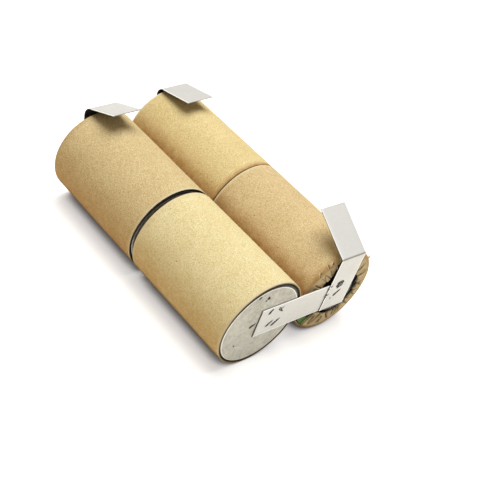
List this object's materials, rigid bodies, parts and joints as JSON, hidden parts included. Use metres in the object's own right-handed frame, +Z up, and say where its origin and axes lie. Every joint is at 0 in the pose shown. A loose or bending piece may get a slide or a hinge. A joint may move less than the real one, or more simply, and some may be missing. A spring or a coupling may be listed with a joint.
{
  "type": "battery cell pack",
  "caption": "Pack of cylindrical rechargeable cells in kraft-paper tubes, two in-line sticks side by side, joined in series by welded nickel strip with bendable solder tabs.",
  "frame": {"origin": "middle of the pack's footprint, on the surface it lies on", "axes": "+Y along the sticks from the cross strip end to the terminal tabs, +Z up, +X from the left stick to the right stick"},
  "size_m": [0.0478, 0.0708, 0.0303],
  "materials": {
    "kraft_front_left": "matte",
    "kraft_rear_left": "matte",
    "kraft_front_right": "matte",
    "kraft_rear_right": "matte",
    "can_steel": "satin",
    "cap_steel": "satin",
    "cover_steel": "satin",
    "nickel_strip": "satin",
    "collector_nickel": "satin",
    "gasket_nylon": "matte",
    "insulating_paper": "matte",
    "vent_rubber": "matte",
    "separator_fleece": "matte",
    "positive_plate": "matte",
    "negative_plate": "matte"
  },
  "bodies": {
    "pack": {"front_left_can": "can_steel", "front_left_negative_collector": "collector_nickel", "front_left_positive_collector": "collector_nickel", "front_left_gasket": "gasket_nylon", "front_left_cover_plate": "cover_steel", "front_left_vent_plug": "vent_rubber", "front_left_cap": "cap_steel", "front_left_washer": "insulating_paper", "front_left_paper_tube": "kraft_front_left", "front_left_separator": "separator_fleece", "front_left_positive_plate": "positive_plate", "front_left_negative_plate": "negative_plate", "rear_left_can": "can_steel", "rear_left_negative_collector": "collector_nickel", "rear_left_positive_collector": "collector_nickel", "rear_left_gasket": "gasket_nylon", "rear_left_cover_plate": "cover_steel", "rear_left_vent_plug": "vent_rubber", "rear_left_cap": "cap_steel", "rear_left_washer": "insulating_paper", "rear_left_paper_tube": "kraft_rear_left", "rear_left_separator": "separator_fleece", "rear_left_positive_plate": "positive_plate", "rear_left_negative_plate": "negative_plate", "front_right_can": "can_steel", "front_right_negative_collector": "collector_nickel", "front_right_positive_collector": "collector_nickel", "front_right_gasket": "gasket_nylon", "front_right_cover_plate": "cover_steel", "front_right_vent_plug": "vent_rubber", "front_right_cap": "cap_steel", "front_right_washer": "insulating_paper", "front_right_paper_tube": "kraft_front_right", "front_right_separator": "separator_fleece", "front_right_positive_plate": "positive_plate", "front_right_negative_plate": "negative_plate", "rear_right_can": "can_steel", "rear_right_negative_collector": "collector_nickel", "rear_right_positive_collector": "collector_nickel", "rear_right_gasket": "gasket_nylon", "rear_right_cover_plate": "cover_steel", "rear_right_vent_plug": "vent_rubber", "rear_right_cap": "cap_steel", "rear_right_washer": "insulating_paper", "rear_right_paper_tube": "kraft_rear_right", "rear_right_separator": "separator_fleece", "rear_right_positive_plate": "positive_plate", "rear_right_negative_plate": "negative_plate", "mid_tab_foot": "nickel_strip", "positive_tab_foot": "nickel_strip", "negative_tab_foot": "nickel_strip", "cross_strip": "nickel_strip", "left_inline_link": "nickel_strip", "right_inline_link": "nickel_strip"},
    "mid_tab": {"mid_tab_flag": "nickel_strip"},
    "positive_tab": {"positive_tab_flag": "nickel_strip"},
    "negative_tab": {"negative_tab_flag": "nickel_strip"}
  },
  "joints": [
    {"name": "mid_tab_bend", "type": "hinge", "parent": "pack", "child": "mid_tab", "pos_m": [0.01182, -0.03524, 0.02369], "axis": [1, 0, 0], "range_deg": [-31.3, 58.7]},
    {"name": "positive_tab_bend", "type": "hinge", "parent": "pack", "child": "positive_tab", "pos_m": [-0.01226, 0.03202, 0.02349], "axis": [-1, 0, 0], "range_deg": [-23.7, 66.3]},
    {"name": "negative_tab_bend", "type": "hinge", "parent": "pack", "child": "negative_tab", "pos_m": [0.01226, 0.03512, 0.02342], "axis": [-1, 0, 0], "range_deg": [-13.7, 76.3]}
  ]
}
